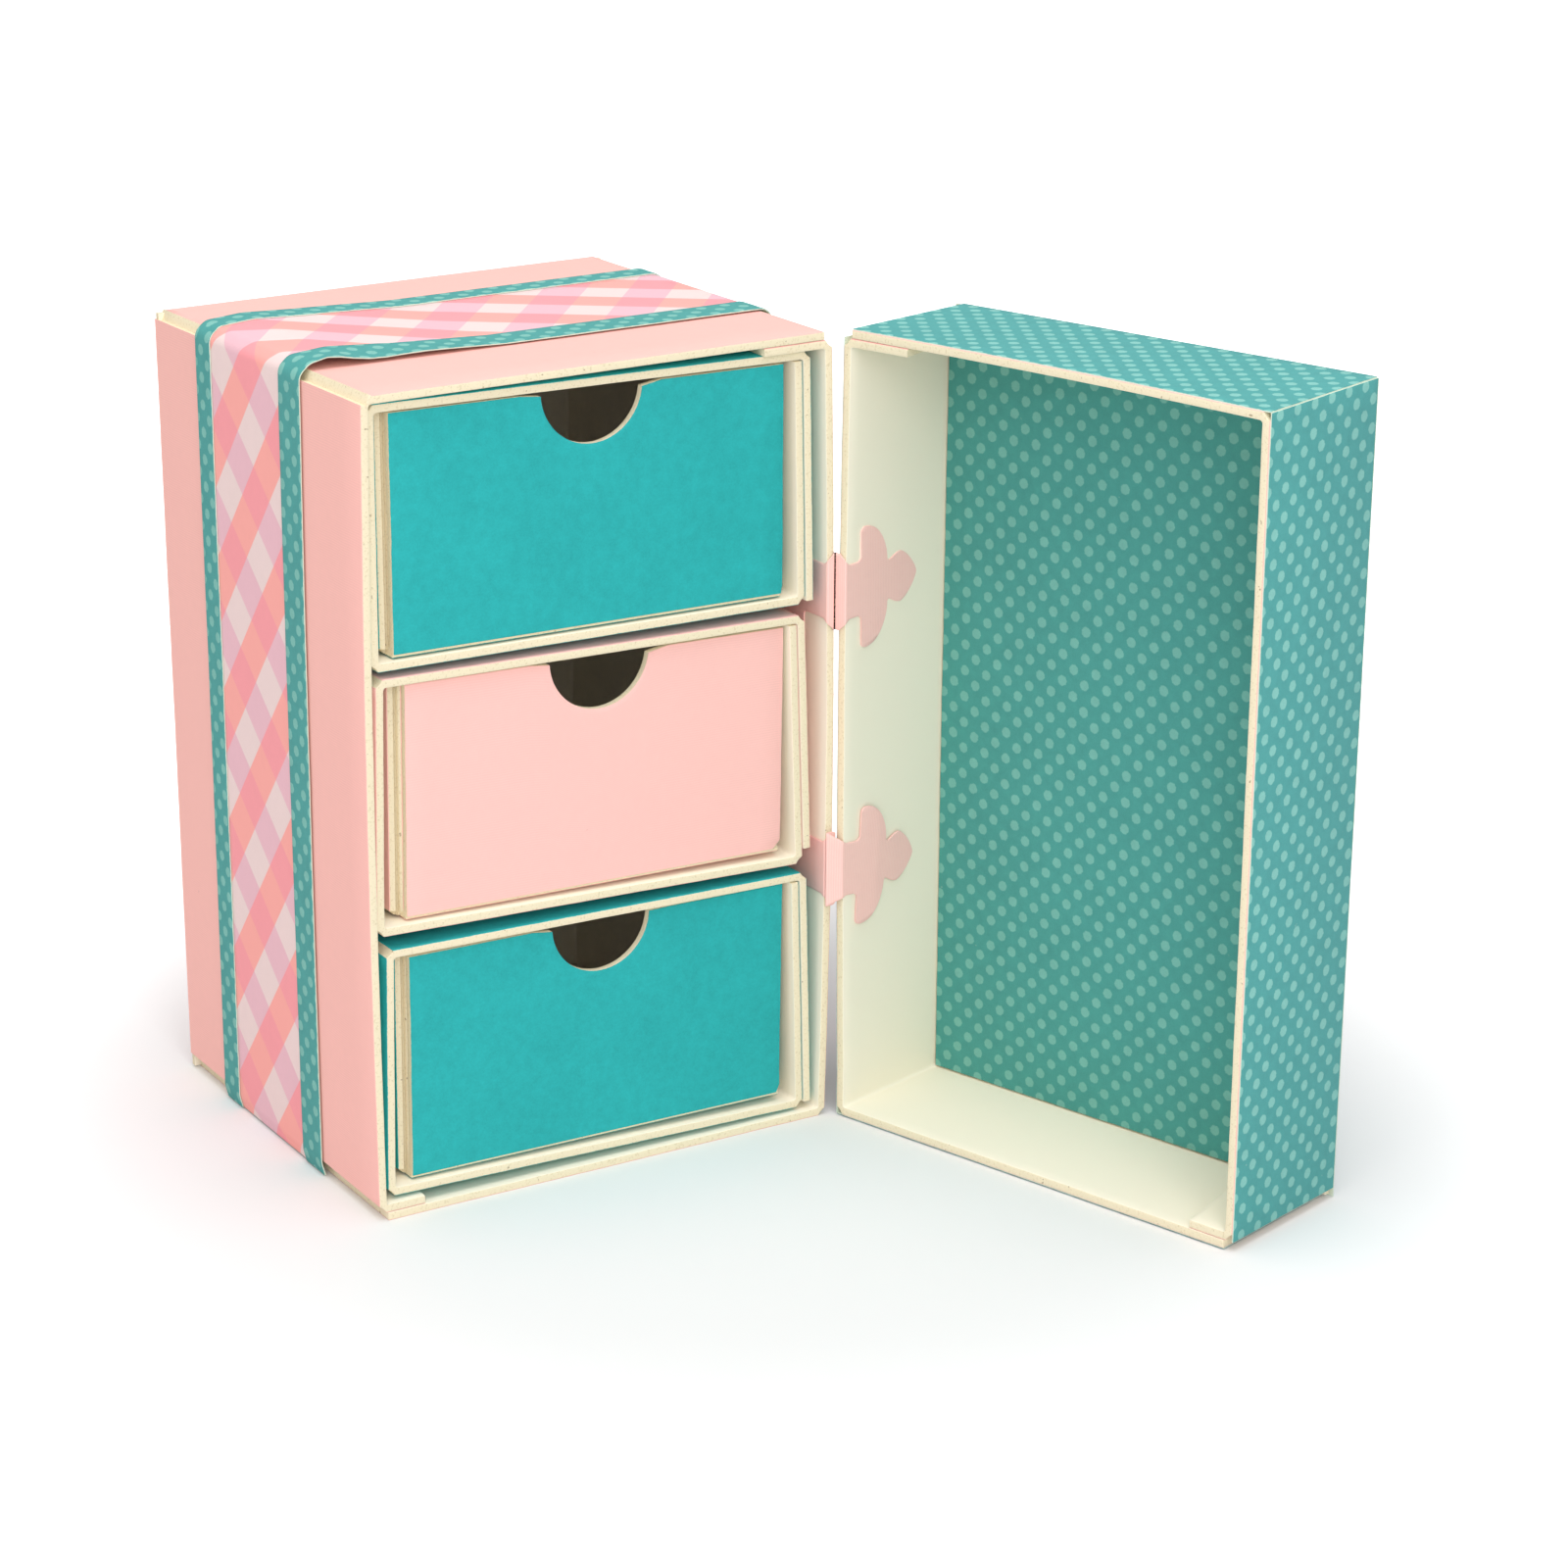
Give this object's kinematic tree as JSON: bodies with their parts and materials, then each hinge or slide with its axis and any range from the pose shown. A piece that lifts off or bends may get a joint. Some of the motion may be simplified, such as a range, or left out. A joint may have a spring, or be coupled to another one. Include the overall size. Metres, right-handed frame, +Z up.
{
  "type": "drawer chest",
  "caption": "Small handmade chest of mat board with sleeved drawers behind a deep cover that opens on paper hinges, bound by a checked paper band.",
  "frame": {"origin": "centre of the case's base, on the surface that it stands on", "axes": "+Z up, -Y out of the case's open front, +X to the right where the cover is hinged"},
  "size_m": [0.1517, 0.1725, 0.1511],
  "materials": {
    "pink_board": "mat board with a matte pink face, cream core and back",
    "teal_board": "mat board with a matte teal face, cream core and back",
    "rose_board": "mat board with a matte rose face, cream core and back",
    "gingham_paper": "matte printed paper, woven-look check",
    "dotted_paper": "matte printed paper, light spots on teal",
    "dotted_lining": "matte printed paper, light spots on deep teal",
    "pink_paper": "matte thin card"
  },
  "bodies": {
    "case": {"case_board": "pink_board", "band_gingham": "gingham_paper", "band_dots_front": "dotted_paper", "band_dots_back": "dotted_paper", "hinge_upper_case_leaf": "pink_paper", "hinge_lower_case_leaf": "pink_paper"},
    "cover": {"cover_board": "pink_board", "cover_front_paper": "dotted_paper", "cover_top_paper": "dotted_paper", "cover_bottom_paper": "dotted_paper", "cover_hinge_side_paper": "dotted_paper", "cover_free_side_paper": "dotted_paper", "cover_lining": "dotted_lining", "hinge_upper_cover_leaf": "pink_paper", "hinge_lower_cover_leaf": "pink_paper"},
    "sleeve_bottom": {"sleeve_bottom": "teal_board"},
    "drawer_bottom": {"drawer_bottom": "teal_board"},
    "sleeve_middle": {"sleeve_middle": "rose_board"},
    "drawer_middle": {"drawer_middle": "rose_board"},
    "sleeve_top": {"sleeve_top": "teal_board"},
    "drawer_top": {"drawer_top": "teal_board"}
  },
  "joints": [
    {"name": "cover_hinge", "type": "hinge", "parent": "case", "child": "cover", "pos_m": [0.0476, -0.0424, 0], "axis": [0, 0, 1], "range_deg": [-106.6, 73.4]},
    {"name": "sleeve_bottom_slide", "type": "slide", "parent": "case", "child": "sleeve_bottom", "axis": [0, -1, 0], "range_m": [0, 0.06]},
    {"name": "drawer_bottom_slide", "type": "slide", "parent": "sleeve_bottom", "child": "drawer_bottom", "axis": [0, -1, 0], "range_m": [0, 0.062]},
    {"name": "sleeve_middle_slide", "type": "slide", "parent": "case", "child": "sleeve_middle", "axis": [0, -1, 0], "range_m": [0, 0.06]},
    {"name": "drawer_middle_slide", "type": "slide", "parent": "sleeve_middle", "child": "drawer_middle", "axis": [0, -1, 0], "range_m": [0, 0.062]},
    {"name": "sleeve_top_slide", "type": "slide", "parent": "case", "child": "sleeve_top", "axis": [0, -1, 0], "range_m": [0, 0.06]},
    {"name": "drawer_top_slide", "type": "slide", "parent": "sleeve_top", "child": "drawer_top", "axis": [0, -1, 0], "range_m": [0, 0.062]}
  ]
}
